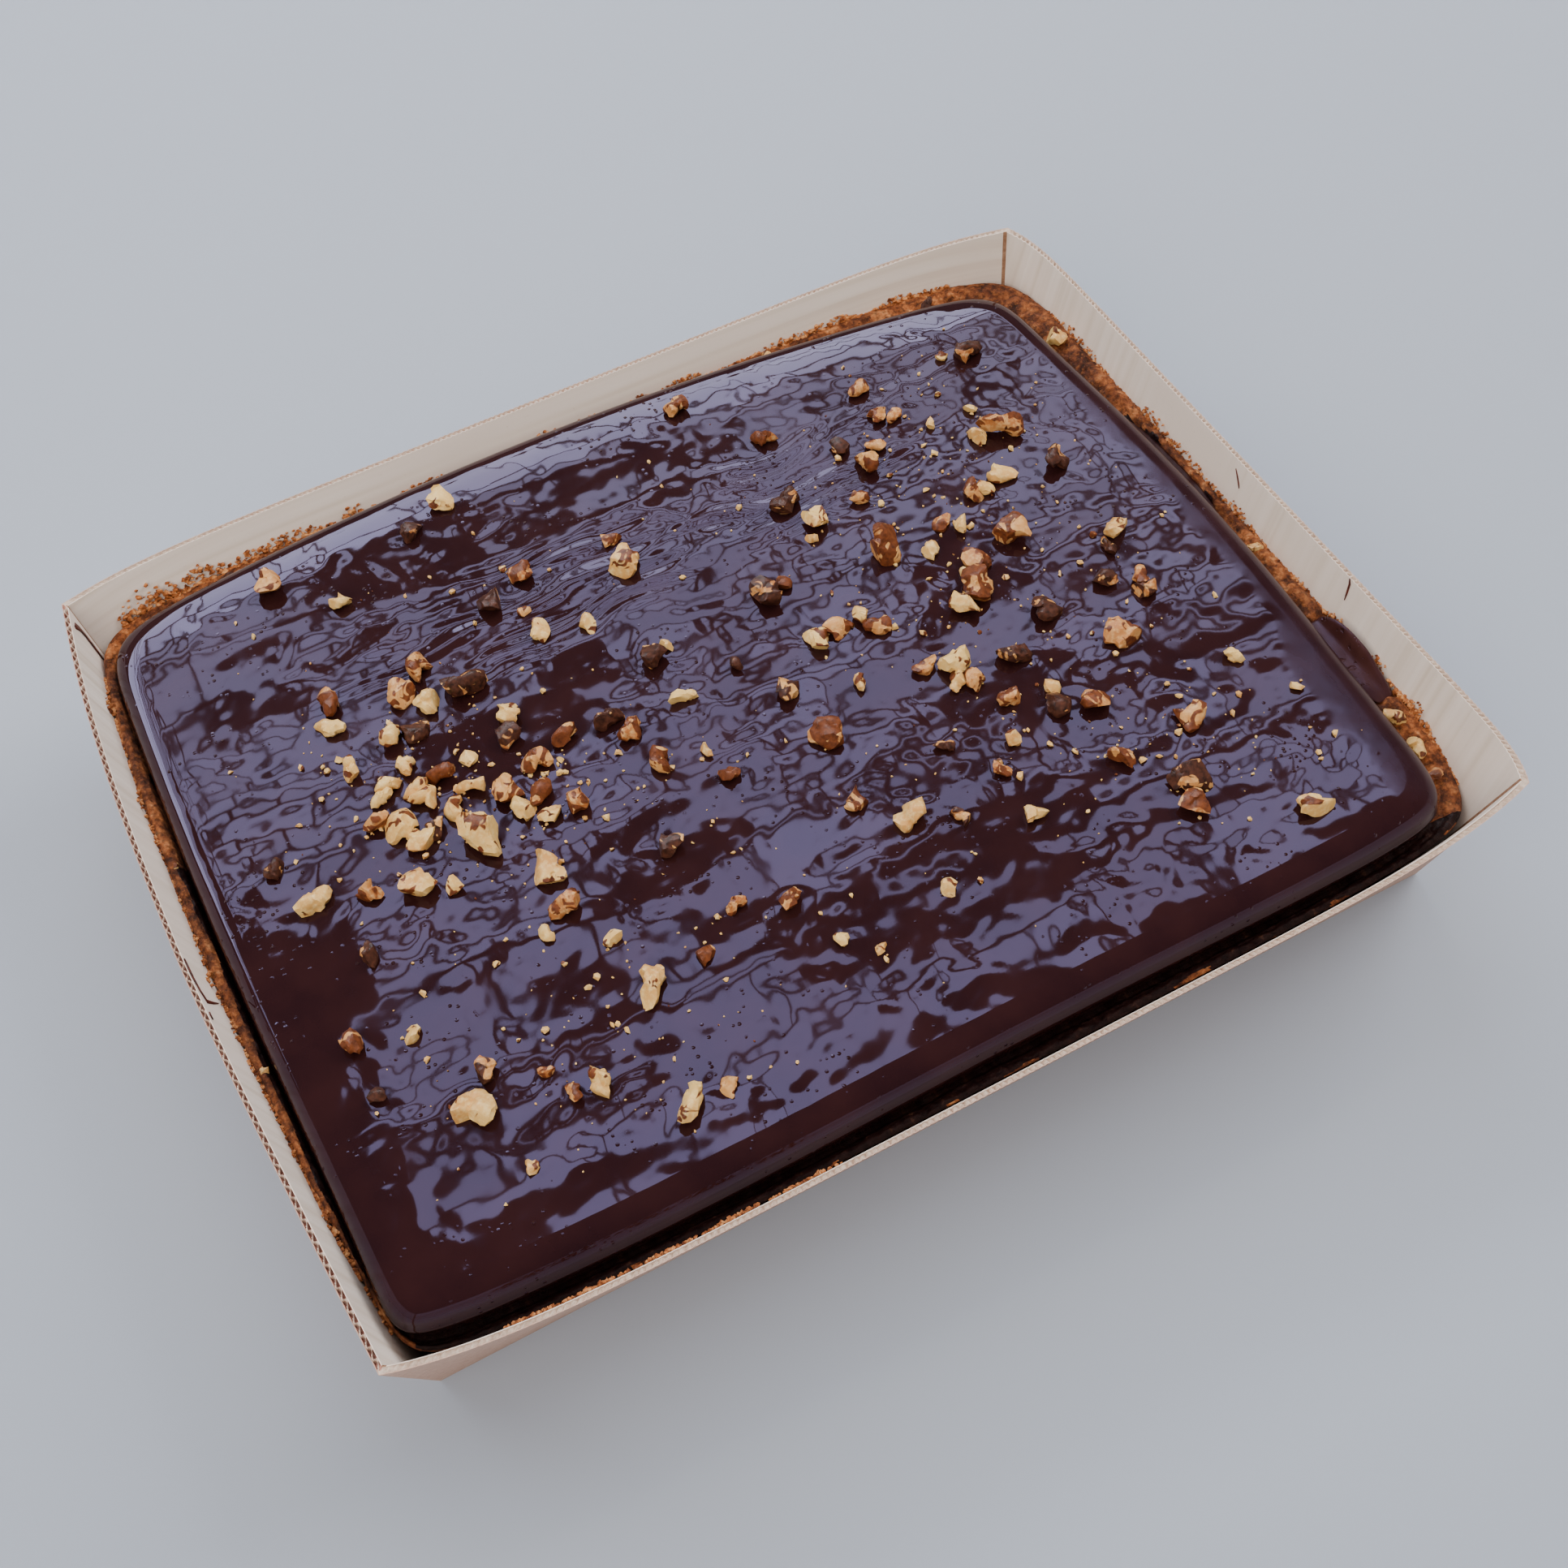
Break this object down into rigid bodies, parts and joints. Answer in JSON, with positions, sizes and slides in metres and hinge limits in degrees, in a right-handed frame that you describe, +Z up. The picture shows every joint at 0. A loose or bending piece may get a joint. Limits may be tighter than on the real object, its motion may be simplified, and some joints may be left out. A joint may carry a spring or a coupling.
{
  "type": "sheet cake",
  "caption": "Rectangular sheet cake in a folded corrugated-board tray: browned sponge under a thick dark glossy ganache slab scattered with chopped walnuts.",
  "frame": {"origin": "middle of the tray's flat underside, which is the rectangle that the four walls are folded up from", "axes": "+X along the long side, +Y to the back long wall, +Z up out of the tray"},
  "size_m": [0.336, 0.2744, 0.0591],
  "materials": {
    "board": "matte corrugated board, pale lining",
    "sponge": "open baked crumb, browned",
    "ganache": "glossy dark chocolate with fine ripples"
  },
  "bodies": {
    "root": {"tray": "board", "sponge": "sponge", "ganache": "ganache", "overflow": "ganache"}
  },
  "joints": []
}
